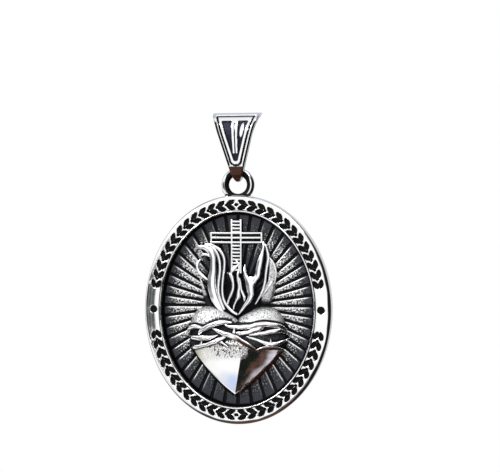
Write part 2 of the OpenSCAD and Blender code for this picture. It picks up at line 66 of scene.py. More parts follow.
# The dish: the medal's cast steel plate, with a round outer edge, rim, bead, wall and floor.
# Laurel leaves and berries are sunk in the rim, in four runs that start beside two round pits.
# The casting is blackened, and then polished where it stands up.
medal_w, medal_h, medal_t = 34.0, 41.1, 3.2
medal_z = -31.7
rim_w, rim_round, rim_crown = 3.1, 0.8, 0.05
bead_w, bead_h = 0.36, 0.12
back_round, back_inset = 0.45, 1.1
wall_lean, wall_foot, floor_t = 0.1, 1.0, 1.3
pocket_depth = 0.32
leaf_l, leaf_w, leaf_lean, berry_d, leaf_pairs = 1.5, 0.8, 20.0, 0.44, 13
pocket_lip, leaf_lip, berry_lip = 0.09, 0.06, 0.05
pit_d, bare_l = 1.35, 4.3
worn_deep, worn_half = 0.16, 7.5
rim_columns = 1500
mask_names = ("recess", "matte", "bright", "stain")


def rise(low, high, value):
    """From 0 to 1 as the value goes from low to high, smooth at both ends."""
    t = np.clip((value - low) / (high - low), 0, 1)
    return t * t * (3 - 2 * t)


def stripe(distance, width):
    return np.exp(-(distance / width) ** 2)


def oval(inset, angle):
    return (medal_w / 2 - inset) * np.cos(angle), (medal_h / 2 - inset) * np.sin(angle)


def evened(angle):
    """Angles moved a little, so that equal steps lie about evenly along the oval."""
    return angle - 0.5 * (medal_h - medal_w) / (medal_h + medal_w) * np.sin(2 * angle)


def on_medal(x, y, h):
    """Points over the medal's back face, put in the frame."""
    x, y, h = np.broadcast_arrays(x, y, h)
    return np.stack([x, medal_t / 2 - h, medal_z + y], axis=-1).reshape(-1, 3)


def ring_faces(rows, columns, first_cap=False, last_cap=False):
    """The faces between rows of points, where each row is a closed ring."""
    r, i = np.meshgrid(np.arange(rows - 1), np.arange(columns), indexing="ij")
    j = (i + 1) % columns
    corners = [r * columns + i, r * columns + j, (r + 1) * columns + j, (r + 1) * columns + i]
    faces = np.stack(corners, -1).reshape(-1, 4).tolist()
    if first_cap:
        faces.append(list(range(columns - 1, -1, -1)))
    if last_cap:
        faces.append([(rows - 1) * columns + k for k in range(columns)])
    return faces


def steel_piece(name, points, faces, finish, body="medal", sharp=38, **masks):
    """A piece of cast steel. Masks say where it is black, rough, bright with a painted highlight or a field
    of strokes, or darkened with painted brown shade.
    """
    mesh = bpy.data.meshes.new(name)
    mesh.from_pydata((np.asarray(points) / 1000).tolist(), [], faces)
    mesh.update()
    for mask in mask_names:
        values = np.zeros(len(mesh.vertices), np.float32)
        if mask in masks:
            values[:] = np.ravel(masks[mask])
        mesh.attributes.new(mask, "FLOAT", "POINT").data.foreach_set("value", values)
    mesh.shade_smooth()
    mesh.set_sharp_from_angle(angle=math.radians(sharp))
    mesh.materials.append(finish)
    piece = in_scene(name, mesh)
    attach(piece, body)
    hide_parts(body)
    return piece


def add(tree, kind, **settings):
    node = tree.nodes.new(kind)
    for name, value in settings.items():
        setattr(node, name, value)
    return node


def feed(tree, socket, value):
    if isinstance(value, bpy.types.NodeSocket):
        tree.links.new(value, socket)
    else:
        socket.default_value = value


def chained(tree, operation, values):
    result = values[0]
    for value in values[1:]:
        node = add(tree, "ShaderNodeMath", operation=operation)
        feed(tree, node.inputs[0], result)
        feed(tree, node.inputs[1], value)
        result = node.outputs[0]
    return result


def plus(tree, *values):
    return chained(tree, "ADD", values)


def minus(tree, *values):
    return chained(tree, "SUBTRACT", values)


def times(tree, *values):
    return chained(tree, "MULTIPLY", values)


def ranged(tree, value, low, high, to_low=0.0, to_high=1.0):
    node = add(tree, "ShaderNodeMapRange", interpolation_type="SMOOTHSTEP")
    for socket, number in zip(node.inputs[:5], (value, low, high, to_low, to_high)):
        feed(tree, socket, number)
    return node.outputs[0]


def mixed(tree, factor, low, high):
    """A number between two."""
    node = add(tree, "ShaderNodeMix", data_type="FLOAT")
    for socket, value in zip((0, 2, 3), (factor, low, high)):
        feed(tree, node.inputs[socket], value)
    return node.outputs[0]


def tinted(tree, factor, low, high):
    """A colour between two, each given as a socket or as red, green and blue."""
    node = add(tree, "ShaderNodeMix", data_type="RGBA")
    for socket, value in zip((0, 6, 7), (factor, low, high)):
        feed(tree, node.inputs[socket], (*value, 1) if isinstance(value, tuple) else value)
    return node.outputs[2]


def noise(tree, scale, detail, rough, stretch=None):
    place = add(tree, "ShaderNodeTexCoord").outputs["Object"]
    if stretch:
        mapping = add(tree, "ShaderNodeMapping")
        feed(tree, mapping.inputs["Vector"], place)
        mapping.inputs["Scale"].default_value = stretch
        place = mapping.outputs[0]
    node = add(tree, "ShaderNodeTexNoise")
    feed(tree, node.inputs["Vector"], place)
    feed(tree, node.inputs["Scale"], scale)
    feed(tree, node.inputs["Detail"], detail)
    feed(tree, node.inputs["Roughness"], rough)
    return node.outputs[0]


def group(name, inputs, outputs):
    tree = bpy.data.node_groups.new(name, "ShaderNodeTree")
    for way, sockets in (("INPUT", inputs), ("OUTPUT", outputs)):
        for socket in sockets:
            tree.interface.new_socket(socket, in_out=way, socket_type="NodeSocketFloat")
    return tree, tree.nodes.new("NodeGroupInput").outputs, tree.nodes.new("NodeGroupOutput").inputs


def placed(tree, inner_tree, **values):
    node = add(tree, "ShaderNodeGroup", node_tree=inner_tree)
    for name, value in values.items():
        feed(tree, node.inputs[name], value)
    return node.outputs


# How fine each pattern is, in noise cells to a metre
oxide_scale, pit_scale, grain_scale, fleck_scale = 2600, 4200, 5200, 4200
line_scale, wave_scale, haze_scale, stroke_scale = 900, 260, 700, 2100

# Black oxide, with a ragged border where the polishing stopped
tree, inside, out = group("oxide", ["Recess", "From", "To", "Ragged"], ["Mask"])
uneven = minus(tree, noise(tree, oxide_scale, 4, 0.65), 0.5)
ragged = times(tree, uneven, inside["Ragged"])
depth = plus(tree, inside["Recess"], ragged)
feed(tree, out["Mask"], ranged(tree, depth, inside["From"], inside["To"]))
oxide_group = tree

# Stipple: pits and grains from the punch, and the flecks of bare steel that wear leaves there
tree, inside, out = group("stipple", ["Size", "Amount"], ["Height", "Fleck"])
pits = add(tree, "ShaderNodeTexVoronoi", feature="SMOOTH_F1")
feed(tree, pits.inputs["Vector"], add(tree, "ShaderNodeTexCoord").outputs["Object"])
feed(tree, pits.inputs["Scale"], times(tree, inside["Size"], pit_scale))
fine = noise(tree, times(tree, inside["Size"], grain_scale), 3, 0.6)
pitted = plus(tree, times(tree, pits.outputs["Distance"], 0.8), fine)
feed(tree, out["Height"], pitted)
coarse = noise(tree, times(tree, inside["Size"], fleck_scale), 2, 0.6)
more = times(tree, minus(tree, inside["Amount"], 0.5), 0.22)
feed(tree, out["Fleck"], ranged(tree, plus(tree, coarse, more), 0.49, 0.555))
stipple_group = tree

# Buffing: fine lines from the wheel over slow waves, and a haze that comes and goes
tree, inside, out = group("buffing", [], ["Height", "Haze"])
lines = noise(tree, line_scale, 5, 0.6, stretch=(1, 1, 7))
waves = noise(tree, wave_scale, 1, 0.5)
feed(tree, out["Height"], plus(tree, times(tree, lines, 0.06), waves))
cloudy = noise(tree, haze_scale, 5, 0.6)
feed(tree, out["Haze"], ranged(tree, cloudy, 0.4, 0.75))
buffing_group = tree

black, flecks_over_black = (0.004, 0.004, 0.005), 4
# The colour of the painted highlight on bright edges
painted_highlight = (0.85, 0.85, 0.87)
# The browns of painted shade on parts that face down, away from the light
stain_low, stain_high = (0.05, 0.02, 0.013), (0.13, 0.055, 0.038)
wave, haze_shine = 0.00002, 0.06
black_shine, black_metallic, stain_metallic = 0.5, 0.6, 0.5


def cast_steel(name, polished, shine, dark=black, edge=(0.35, 0.7), ragged=0.2, rough=(0.08, 0.75),
        rough_shine=0.36, grain=0.00006, strokes=0.0, fleck=1.0):
    """Steel that is black in recesses, stippled where matte, and brown with painted shade where the brown
    shade mask says.

    What is bright is a painted highlight, or with strokes a field of short black cuts."""
    material = bpy.data.materials.new(name)
    material.use_nodes = True
    tree = material.node_tree
    shader = tree.nodes["Principled BSDF"]
    recess, matte, bright, stain = (
        add(tree, "ShaderNodeAttribute", attribute_name=mask).outputs["Fac"] for mask in mask_names)
    stipple = placed(tree, stipple_group, Size=fleck, Amount=matte)
    buffing = placed(tree, buffing_group)
    if strokes:
        cut = ranged(tree, noise(tree, stroke_scale, 3, 0.6, stretch=(1.6, 1, 0.8)), 0.5, 0.62)
        recess = plus(tree, recess, times(tree, bright, cut, strokes))
    else:
        recess = minus(tree, recess, bright)
    oxide = placed(tree, oxide_group, Recess=recess, From=edge[0], To=edge[1], Ragged=ragged)["Mask"]
    worn = times(tree, stipple["Fleck"], ranged(tree, matte, 0.1, 0.4, 0.3, 1.0))
    punched = tinted(tree, worn, (rough[0] * 0.95, rough[0], rough[0] * 1.1), (rough[1],) * 3)
    metal = tinted(tree, ranged(tree, matte, 0.0, 0.12), polished, punched)
    if not strokes:
        metal = tinted(tree, bright, metal, painted_highlight)
    metal = tinted(tree, stain, metal, tinted(tree, stipple["Fleck"], stain_low, stain_high))
    lighter = tuple(flecks_over_black * part for part in dark)
    oxide_colour = tinted(tree, times(tree, stipple["Fleck"], matte), dark, lighter)
    feed(tree, shader.inputs["Base Color"], tinted(tree, oxide, metal, oxide_colour))
    smooth_shine = mixed(tree, buffing["Haze"], shine, shine + haze_shine)
    bare_shine = mixed(tree, matte, smooth_shine, rough_shine)
    feed(tree, shader.inputs["Roughness"], mixed(tree, oxide, bare_shine, black_shine))
    bare_metallic = mixed(tree, stain, 1.0, stain_metallic)
    feed(tree, shader.inputs["Metallic"], mixed(tree, oxide, bare_metallic, black_metallic))
    shader.inputs["Specular IOR Level"].default_value = 0.2
    textured = chained(tree, "MAXIMUM", (matte, bright)) if strokes else matte
    bumps = add(tree, "ShaderNodeBump")
    bumps.inputs["Strength"].default_value = 1.0
    bumps.inputs["Distance"].default_value = 1.0
    grains = times(tree, stipple["Height"], textured, grain)
    feed(tree, bumps.inputs["Height"], plus(tree, grains, times(tree, buffing["Height"], wave)))
    feed(tree, shader.inputs["Normal"], bumps.outputs[0])
    return material


def rim_profile():
    """The plate's section from its back round the rim to the floor, as [inset, height]."""
    rows = [(back_inset, 0.0), (back_round, 0.0)]
    rows += [(back_round * (1 - math.sin(t)), back_round * (1 - math.cos(t)))
             for t in np.linspace(0.35, math.pi / 2, 5)]
    side_top = medal_t - rim_round
    rows += [(0.0, h) for h in (1.1, 1.8, side_top)]
    rows += [(rim_round * (1 - math.cos(t)), side_top + rim_round * math.sin(t))
             for t in np.linspace(0.14, math.pi / 2, 11)]
    face_end = rim_w - bead_w
    rows += [(d, medal_t) for d in np.linspace(rim_round, face_end, 27)[1:]]
    rows += [(face_end + bead_w * s, medal_t + bead_h * b) for s, b in
             ((0.1, 0.35), (0.22, 0.8), (0.38, 1.0), (0.6, 1.0), (0.78, 0.7), (0.9, 0.1), (1.0, -1.0))]
    wall_top = medal_t - bead_h
    rows += [(rim_w + wall_lean * s, wall_top - s * (wall_top - wall_foot)) for s in (0.12, 0.35, 0.7, 1.0)]
    return np.array(rows)


def leaf_pockets(x, y):
    """How deep the ornament is sunk, from 0 to 1, at points of the rim."""
    band = (rim_round + rim_w - bead_w) / 2
    start = bare_l / (medal_h / 2 - band)
    step = (math.pi / 2 - start) / leaf_pairs
    depth = np.zeros_like(x)
    ax, ay = np.abs(x), np.abs(y)
    for k in range(leaf_pairs):
        angle = evened(start + (k + 0.4) * step)
        px, py = oval(band, angle)
        qx, qy = oval(band, angle + 0.01)
        turn = math.atan2(qy - py, qx - px)
        u = (ax - px) * math.cos(turn) + (ay - py) * math.sin(turn)
        v = -(ax - px) * math.sin(turn) + (ay - py) * math.cos(turn)
        for side in (-1, 1):
            lean = math.radians(leaf_lean) * side
            dv = v - side * leaf_w * 0.6
            lu = u * math.cos(lean) + dv * math.sin(lean)
            lv = -u * math.sin(lean) + dv * math.cos(lean)
            along = 2 * lu / leaf_l
            width = leaf_w * (1 - 0.3 * np.minimum(along ** 2, 1))
            edge = (np.sqrt(along ** 2 + (2 * lv / width) ** 2) - 1) * leaf_w / 2
            depth = np.maximum(depth, rise(pocket_lip, -leaf_lip, edge))
        berry = np.hypot(u - leaf_l * 0.62, v) - berry_d / 2
        depth = np.maximum(depth, rise(pocket_lip, -berry_lip, berry))
    pit = np.hypot(ax - (medal_w / 2 - band), ay) - pit_d / 2
    return np.maximum(depth, rise(0.05, -0.12, pit))


turns = evened(np.arange(rim_columns) * 2 * math.pi / rim_columns)
profile = rim_profile()
inset = profile[:, :1]
rim_x, rim_y = oval(inset, turns[None, :])
rim_h = np.repeat(profile[:, 1:], rim_columns, axis=1)
face_row = ((inset > rim_round * 0.6) & (inset < rim_w - bead_w * 0.6)
            & (profile[:, 1:] > medal_t - 0.3))
across = (inset - rim_round) / (rim_w - bead_w - rim_round)
rim_h = rim_h + rim_crown * np.clip(1 - (2 * across - 1) ** 2, 0, 1) * face_row
pocket = leaf_pockets(rim_x, rim_y) * face_row
# A hand-polished casting is never quite even along its rim
wander = sum(high * np.sin(count * turns + start) for high, count, start in
             ((0.021, 7, 0.6), (0.015, 13, 2.1), (0.012, 29, 0)))
rim_h = rim_h - pocket_depth * pocket + wander[None, :] * face_row
# The tumbling has worn the rim lower on the outside by the left pit
worn_side = rise(worn_half, worn_half - 4, np.abs(rim_y)) * (rim_x < 0)
rim_h = rim_h - worn_deep * worn_side * np.clip(1 - across, 0, 1) ** 2 * face_row
on_wall = inset > rim_w - 0.05
wall_dark = rise(medal_t - 0.1, medal_t - 0.7, rim_h) * on_wall
# Two thin black lines run along the foot of the bead's outer side
bead_start = rim_w - bead_w
lip_line = 0.75 * stripe(inset - bead_start - bead_w * 0.02, 0.05)
lip_line += 0.6 * stripe(inset - bead_start + bead_w * 0.08, 0.05)
# The wall under the top of the rim is painted brown instead of black, as painted shade on a wall that faces
# down
top_wall_shade = rise(13.5, 16.5, rim_y) * rise(medal_t - 0.8, medal_t - 0.3, rim_h) * on_wall
rim_dark = np.maximum(np.maximum(pocket, wall_dark * (1 - top_wall_shade)), lip_line * face_row)
dish = steel_piece(
    "dish", on_medal(rim_x, rim_y, rim_h), ring_faces(len(profile), rim_columns, True, True),
    cast_steel("rim_steel", (0.9, 0.9, 0.9), 0.1, edge=(0.25, 0.55), ragged=0.1),
    recess=rim_dark, stain=top_wall_shade)

# The ground: rays that spread from behind the heart to the wall, cast a little raised and
# stippled with a punch, with a plain groove between each two.
rays, ray_rise, ray_gap, ray_y, ray_start = 44, 0.28, 0.32, 0.7, 2.6
ray_crown, punch_depth, past_wall = 0.05, 0.03, 0.06
ray_columns, ray_rows = 30, 64
rng = np.random.RandomState(7)


def reach(angle, margin):
    """How far it is from the rays' middle to the wall, or to a margin past it."""
    rx, ry = medal_w / 2 - rim_w + margin, medal_h / 2 - rim_w + margin
    qa = (np.cos(angle) / rx) ** 2 + (np.sin(angle) / ry) ** 2
    qb = ray_y * np.sin(angle) / ry ** 2
    qc = (ray_y / ry) ** 2 - 1
    return (-qb + np.sqrt(qb * qb - qa * qc)) / qa


ground_columns = rays * ray_columns
step = 2 * math.pi / rays
ray_turn = np.arange(ground_columns) * 2 * math.pi / ground_columns
ray_cos, ray_sin = np.cos(ray_turn), np.sin(ray_turn)
share = np.linspace(0, 1, ray_rows)[:, None] ** 0.85
radius = ray_start + share * (reach(ray_turn, past_wall)[None, :] - ray_start)
from_groove = ((ray_turn + step / 2) % step - step / 2)[None, :]
groove_gap = radius * np.sin(np.abs(from_groove))
panel = rise(ray_gap * 0.6, ray_gap * 0.95, groove_gap)
crowned = ray_crown * rise(0, 1, groove_gap / (radius * step / 2))
punched = punch_depth * rng.rand(*panel.shape) * panel
to_wall = reach(ray_turn, 0)[None, :] - radius
at_wall = rise(0.0, 0.12, to_wall)
ground_h = floor_t + (ray_rise * panel + crowned - punched) * (0.25 + 0.75 * at_wall)
ray_x = radius * ray_cos
ray_z = ray_y + radius * ray_sin
behind_flames = rise(7.2, 5.8, np.abs(ray_x)) * rise(-1, 0.5, ray_z) * rise(11, 9, ray_z)
# The buffing wheel reaches the middle of each ray. The edge of each ray that faces up is lightened as a
# painted highlight of the light from above
faces_up = rise(0.0, 0.015, -from_groove * ray_cos[None, :]) * rise(0.1, 0.55, np.abs(ray_cos))
edge_highlight = stripe(groove_gap - ray_gap * 1.1, 0.1) * faces_up * rise(0.6, 1.6, to_wall)
sideways = rise(0.15, 0.8, np.abs(ray_cos)) * rise(-1.1, -0.2, ray_sin)
buffed = rise(0.4, 3.4, to_wall) * (0.12 + 0.45 * sideways) * (1 - 0.8 * behind_flames)
# The grooves are black oxide. Near the wall and behind the flames the panels are darker too: oxide, and
# painted shade
ray_dark = np.maximum(1 - panel * (0.45 + 0.55 * at_wall), 0.45 * behind_flames)
ground = steel_piece(
    "ray_ground", on_medal(ray_x, ray_z, ground_h)[::-1], ring_faces(ray_rows, ground_columns, True),
    cast_steel("ray_steel", (0.05, 0.053, 0.064), 0.4, edge=(0.35, 0.75), ragged=0.15,
        rough=(0.04, 0.85), fleck=0.85),
    sharp=70, recess=ray_dark[::-1, ::-1], matte=buffed[::-1, ::-1],
    bright=(edge_highlight * (1 - behind_flames))[::-1, ::-1])

# The heart: a full, rounded upper part with two lobes, and below it two flat facets that
# meet in a crease and run down to the tip. Its lower half is polished like a mirror.
heart_right = [[-0.5, -15.95], [2, -14.05], [4.75, -11.6], [7.15, -9.2], [8.65, -6.8], [9, -4.5],
    [8.7, -2.3], [7.9, -0.8], [6.5, 0.3], [4.7, 0.6], [2.5, 0.05], [1, -0.7], [0.1, -1.35]]
heart_left = [[0.1, -1.35], [-0.9, -0.75], [-2.5, 0.1], [-4.9, 0.7], [-6.6, 0.4], [-8, -0.7],
    [-8.8, -2.3], [-9, -4.6], [-8.5, -7.3], [-7.2, -9.4], [-5, -12], [-2.6, -14.3], [-0.5, -15.95]]
heart_top = np.array([1.35, -6.4])
relief_h, branch_d = 3.9, 0.94
arch_rise = relief_h - branch_d / 2 - 0.12
heart_rise = arch_rise - 0.1
bevel_w, facet_swell, tip_drop = 0.75, 0.05, 0.25
facets_from, facets_full, tip_from, tip_full = -4.5, -8.0, -9.0, -15.6
sunk_foot = -0.25


def curve(stations, fine):
    """A smooth curve through the stations, with fine steps between each two."""
    p = np.array(stations, float)
    p = np.vstack([p[:1], p, p[-1:]])
    t = (np.arange(fine) / fine)[:, None]
    runs = []
    for a, b, c, d in zip(p[:-3], p[1:-2], p[2:-1], p[3:]):
        runs.append(0.5 * (2 * b + (c - a) * t + (2 * a - 5 * b + 4 * c - d) * t ** 2
                    + (3 * b - a - 3 * c + d) * t ** 3))
    return np.vstack(runs + [p[-1:]])


edge = np.vstack([curve(heart_right, 12)[:-1], curve(heart_left, 12)[:-1]])
inward = np.concatenate([[0.0], np.linspace(0, 1, 44)[1:-1] ** 1.35, [0.985]])[:, None]
facet_share = rise(facets_from, facets_full, edge[:, 1])[None, :]
dome = np.sqrt(1 - (1 - inward) ** 2)
bevel_in = np.clip(bevel_w / np.linalg.norm(edge - heart_top, axis=1), 0.06, 0.13)[None, :]
bevelled = np.where(inward < bevel_in, 0.5 * inward / bevel_in,
    0.5 + 0.5 * (inward - bevel_in) / (1 - bevel_in))
swell = facet_swell * np.sin(math.pi * inward) * facet_share
heart_x = heart_top[0] + (1 - inward) * (edge[:, 0] - heart_top[0])
heart_y = heart_top[1] + (1 - inward) * (edge[:, 1] - heart_top[1])
tip_share = np.maximum(0, (heart_y - tip_from) / (tip_full - tip_from))
tip_fall = tip_drop * tip_share ** 2 * rise(0, 0.12, inward)
heart_h = heart_rise * (dome * (1 - facet_share) + (bevelled + swell) * facet_share) - tip_fall
under = np.full((1, len(edge)), sunk_foot)
heart_x, heart_y, heart_h = (np.vstack([a, b]) for a, b in
    ((edge[None, :, 0], heart_x), (edge[None, :, 1], heart_y), (under, heart_h)))
from_edge = np.vstack([inward[:1], inward])
# The crown's lower border over the heart parts the stippled lobes from the polished facets
crown_low = np.where(heart_x < 0, -4.9 + 0.28 * heart_x, np.maximum(-4.9 - 0.55 * heart_x, -6.8))
lobes = rise(crown_low - 0.3, crown_low + 0.3, heart_y)
in_crown = rise(crown_low - 0.1, crown_low + 0.5, heart_y) * rise(-2.3, -3.0, heart_y)
under_crown = (rise(-9.6, -7.0, heart_y) * rise(0.08, 0.2, from_edge)
    * (0.25 + 0.75 * rise(4.4, 1.6, np.abs(heart_x + 1.2))) * rise(2.6, 1.8, heart_x))
# The bevel round the facets kept its blackening on the left; on the right it is painted brown, a painted
# reflection of the brown table below
bevel = rise(bevel_in * 1.08, bevel_in * 0.92, from_edge) * rise(-6.6, -7.6, heart_y)
black_bevel, bevel_brown_reflection = (bevel * rise(-0.3 * way, -0.7 * way, heart_x) for way in (1, -1))
heart = steel_piece(
    "heart", on_medal(heart_x, heart_y, floor_t + heart_h), ring_faces(len(heart_x), len(edge), True, True),
    cast_steel("heart_steel", (0.92, 0.91, 0.91), 0.07, edge=(0.4, 0.8), rough=(0.1, 0.62),
        rough_shine=0.4, grain=0.00008, strokes=1.5),
    sharp=24, recess=np.maximum(0.85 * black_bevel, 0.75 * in_crown), matte=lobes, bright=under_crown,
    stain=bevel_brown_reflection)

# The flames: tongues that rise from the heart's cleft, slightly domed, the wide ones with a fine
# line cut along them. The low outer ones are left rough from the mould.
# Each station is [x, y, half width, share of the flames' height].
flame_rise, flame_dome, cut_place, cut_depth = 1.5, 0.2, 0.45, 0.05
flames = {
    "left_flame": [[-2.7, -0.5, 0.4, 0.9], [-3.95, 1.65, 0.75, 1], [-4.4, 2.9, 0.78, 1],
        [-4.65, 4.2, 0.82, 1], [-4.65, 5.5, 0.8, 1], [-4.45, 6.9, 0.65, 1], [-4.4, 8.3, 0.56, 1],
        [-4.5, 9.6, 0.6, 1], [-5.1, 10.6, 0.58, 0.95], [-6.05, 11.15, 0.48, 0.9], [-7, 11.2, 0.36, 0.8],
        [-7.95, 10.85, 0.1, 0.6]],
    "left_middle": [[-2.3, 0, 0.2, 0.9], [-3, 1.6, 0.24, 0.95], [-3.4, 2.9, 0.27, 0.95],
        [-3.45, 4.2, 0.28, 0.95], [-3.3, 5.6, 0.28, 0.95], [-3.15, 7, 0.27, 0.95],
        [-3.2, 8.5, 0.28, 0.95], [-3.55, 9.8, 0.27, 0.9], [-4.2, 10.8, 0.24, 0.85],
        [-5.15, 11.4, 0.2, 0.8], [-6.2, 11.6, 0.06, 0.6]],
    "left_edge": [[0, -0.9, 0.2, 0.9], [-1, -0.25, 0.24, 0.9], [-1.95, 0.75, 0.24, 0.85],
        [-2.55, 2, 0.24, 0.85], [-2.75, 3.4, 0.24, 0.85], [-2.7, 4.7, 0.24, 0.85],
        [-2.55, 6.2, 0.24, 0.85], [-2.35, 7.8, 0.25, 0.85], [-2.4, 9.1, 0.26, 0.85],
        [-2.85, 10.2, 0.28, 0.8], [-3.55, 11, 0.27, 0.8], [-4.7, 11.6, 0.22, 0.75],
        [-6, 11.85, 0.05, 0.5]],
    "left_spur": [[-4.8, 9.5, 0.27, 0.8], [-5.5, 9.8, 0.25, 0.78], [-6.3, 9.85, 0.25, 0.72],
        [-7.1, 9.35, 0.08, 0.55]],
    "left_curl": [[-6.8, 9, 0.1, 0.55], [-7.3, 8.3, 0.24, 0.65], [-7.4, 7.4, 0.28, 0.7],
        [-7, 6.6, 0.28, 0.7], [-6.3, 6, 0.26, 0.7], [-5.5, 5.3, 0.18, 0.65]],
    "left_low": [[-7.1, 6, 0.05, 0.3], [-6.6, 4.7, 0.2, 0.45], [-6.2, 3.3, 0.3, 0.5],
        [-5.7, 1.8, 0.45, 0.5], [-5, 0.4, 0.5, 0.45]],
    "small_flame": [[-1.75, 0.9, 0.12, 0.6], [-1.6, 1.7, 0.2, 0.7], [-1.15, 2.7, 0.27, 0.75],
        [-0.8, 3.7, 0.27, 0.8], [-0.8, 4.9, 0.26, 0.8], [-1.05, 5.9, 0.34, 0.8], [-1.4, 6.4, 0.32, 0.75],
        [-2, 6.5, 0.04, 0.45]],
    "small_tip": [[-1.3, 6.3, 0.2, 0.75], [-0.95, 6.9, 0.34, 0.8], [-0.4, 7.45, 0.3, 0.8],
        [0.05, 7.9, 0.15, 0.8], [0.3, 8.1, 0.05, 0.75]],
    "second_flame": [[-0.7, 0, 0.08, 0.6], [-0.6, 0.7, 0.16, 0.65], [-0.25, 1.5, 0.2, 0.7],
        [0.15, 2.3, 0.4, 0.75], [0.25, 3.1, 0.31, 0.8], [0.35, 3.9, 0.25, 0.85], [0.3, 4.7, 0.25, 0.85],
        [0.15, 5.5, 0.24, 0.85], [0.1, 6.3, 0.2, 0.85], [0.3, 7, 0.2, 0.8], [0.35, 7.8, 0.2, 0.75],
        [0.05, 8.4, 0.2, 0.7], [-0.2, 8.9, 0.12, 0.6], [-0.2, 9.4, 0.04, 0.5]],
    "third_flame": [[0.4, 5.7, 0.1, 0.75], [0.6, 4.7, 0.15, 0.75], [0.7, 3.7, 0.18, 0.75],
        [1, 2.9, 0.22, 0.7], [1.25, 2.2, 0.22, 0.65], [1.25, 1.5, 0.08, 0.55]],
    "fork_trunk": [[0.25, -0.9, 0.1, 0.85], [0.85, -0.1, 0.24, 0.9], [1.5, 0.8, 0.33, 0.95],
        [2.2, 1.7, 0.45, 1], [2.5, 2.7, 0.55, 1], [2.4, 3.6, 0.7, 1], [2.3, 4.5, 0.8, 1],
        [1.9, 5.4, 0.52, 0.95], [1.5, 6.2, 0.36, 0.9], [1.35, 7.1, 0.24, 0.85], [1.4, 8.1, 0.05, 0.6]],
    "fork_web": [[2.3, 4, 0.6, 1], [2.6, 4.9, 0.75, 0.97], [2.65, 5.5, 0.75, 0.93],
        [2.65, 5.9, 0.5, 0.85]],
    "fork_tall": [[2.6, 4.3, 0.4, 0.9], [3.15, 5.2, 0.48, 0.95], [3.7, 6.1, 0.54, 0.95],
        [3.85, 7.1, 0.55, 0.95], [4.05, 8.1, 0.56, 0.95], [4.25, 9, 0.5, 0.95], [4.5, 9.9, 0.34, 0.9],
        [4.7, 10.8, 0.22, 0.85], [4.8, 11.5, 0.15, 0.8], [4.65, 12.3, 0.05, 0.6]],
    "right_edge": [[3.3, 1, 0.12, 0.7], [3.8, 1.8, 0.18, 0.75], [4.35, 2.8, 0.2, 0.8],
        [4.7, 3.7, 0.2, 0.8], [4.95, 4.7, 0.22, 0.8], [5.1, 5.6, 0.23, 0.8], [5.2, 6.5, 0.24, 0.8],
        [5.35, 7.6, 0.26, 0.8], [5.55, 8.7, 0.3, 0.8], [5.6, 9.7, 0.3, 0.8], [5.4, 10.7, 0.22, 0.75],
        [5.15, 11.5, 0.14, 0.7], [4.9, 12, 0.05, 0.5]],
    "right_strand": [[4.4, 2.3, 0.06, 0.6], [4.9, 3, 0.14, 0.7], [5.45, 3.7, 0.16, 0.72],
        [6, 4.5, 0.16, 0.72], [6.4, 5.3, 0.05, 0.6]],
    "right_outline": [[5.8, 9.3, 0.15, 0.75], [6.35, 8.7, 0.18, 0.7], [6.8, 7.8, 0.18, 0.7],
        [7, 6.8, 0.18, 0.68], [6.95, 5.8, 0.16, 0.66], [6.7, 4.7, 0.06, 0.6]],
    "right_lobe": [[5, 1.1, 0.8, 0.5], [5.3, 2.4, 1.05, 0.55], [5.8, 3.7, 0.95, 0.6],
        [6.2, 5.1, 0.75, 0.62], [6.3, 6.5, 0.68, 0.62], [6.25, 7.7, 0.52, 0.62], [6, 8.7, 0.28, 0.6],
        [5.8, 9.3, 0.06, 0.5]],
}


def headings(line):
    way = np.gradient(line, axis=0)
    return way / np.linalg.norm(way, axis=1, keepdims=True)


def tongue(stations, rough=False):
    """A flame as points, rows, points in a row, and how black each point is."""
    s = curve(stations, 6)
    way = headings(s[:, :2])
    width = np.maximum(s[:, 2:3] * 1.03 + 0.02, 0.09)
    top = np.maximum(s[:, 3:4], 0.1) * flame_rise
    q = np.sin(np.linspace(-1, 1, 17) * math.pi / 2)[None, :]
    section = (1 - np.abs(q) ** 12) ** 0.5 - flame_dome * width * q ** 2 / top
    dark = rise(0.92, 1.0, np.abs(q)) + 0 * top
    if rough:
        dark = np.maximum(dark, 0.75 * rise(3.2, 0.9, s[:, 1:2])) + 0.42 * (s[:, :1] < 0)
    else:
        section = section - cut_depth * stripe(q - cut_place, 0.08) * rise(0.45, 0.7, width)
    q, dark = (np.pad(field, ((0, 0), (1, 1)), mode="edge") for field in (q, dark))
    x = s[:, :1] - way[:, 1:2] * width * q
    y = s[:, 1:2] + way[:, :1] * width * q
    h = np.pad(top * section, ((0, 0), (1, 1)), constant_values=sunk_foot)
    return on_medal(x, y, floor_t + h), len(s), q.shape[1], dark.ravel()


def joined(parts):
    """Several closed lofts as one mesh, with how black each point is."""
    points, faces, shades, first = [], [], [], 0
    for ring_points, rows, count, shade in parts:
        points.append(ring_points)
        shades.append(shade)
        faces += [[first + v for v in face] for face in ring_faces(rows, count, True, True)]
        first += len(ring_points)
    return np.vstack(points), faces, np.concatenate(shades)


rough_names = ("left_low", "right_lobe")
points, faces, shade = joined([tongue(s) for name, s in flames.items() if name not in rough_names])
smooth_flames = steel_piece(
    "flames", points, faces, cast_steel("flame_steel", (0.92, 0.92, 0.94), 0.14), sharp=50, recess=shade)
points, faces, shade = joined([tongue(flames[name], True) for name in rough_names])
rough_flames = steel_piece(
    "rough_flames", points, faces, cast_steel("rough_flame_steel", (0.6, 0.6, 0.6), 0.3, rough=(0.05, 0.65)),
    sharp=50, recess=shade, matte=1)

